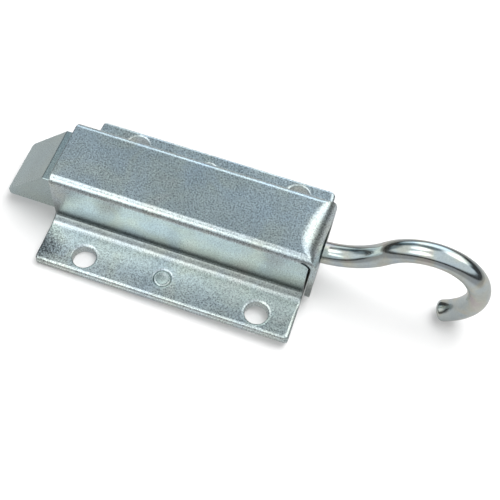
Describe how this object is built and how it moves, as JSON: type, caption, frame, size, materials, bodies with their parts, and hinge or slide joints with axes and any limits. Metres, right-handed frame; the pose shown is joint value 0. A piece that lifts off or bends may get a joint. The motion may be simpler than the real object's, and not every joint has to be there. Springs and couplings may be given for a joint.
{
  "type": "flush spring bolt",
  "caption": "Sprung bevelled bolt in a folded sheet housing with side flanges and a base plate, drawn back by a rod with a hooked end.",
  "frame": {"origin": "centre of the four fixing holes, on the mounting face under the base plate", "axes": "+X along the bolt towards the pull hook, +Y across the flanges, +Z away from the mounting face"},
  "size_m": [0.1765, 0.0646, 0.0419],
  "materials": {
    "zinc_sheet": "blue passivated zinc plate on pressed sheet, fine mottled grain",
    "zinc_rivet": "blue passivated zinc plate, peened flush",
    "zinc_bolt": "blue passivated zinc plate on ground bar",
    "zinc_rod": "bright zinc plate on drawn rod",
    "spring_steel": "zinc plated spring steel"
  },
  "bodies": {
    "housing": {"housing": "zinc_sheet", "base_plate": "zinc_sheet", "plate_rivets": "zinc_rivet", "return_spring": "spring_steel"},
    "bolt": {"bolt": "zinc_bolt", "pull_hook": "zinc_rod", "cross_pin": "spring_steel"}
  },
  "joints": [
    {"name": "bolt_slide", "type": "slide", "parent": "housing", "child": "bolt", "axis": [1, 0, 0], "range_m": [0, 0.019], "stiffness_N_per_m": 900, "springref_m": -0.012, "deforming": ["return_spring"]}
  ]
}
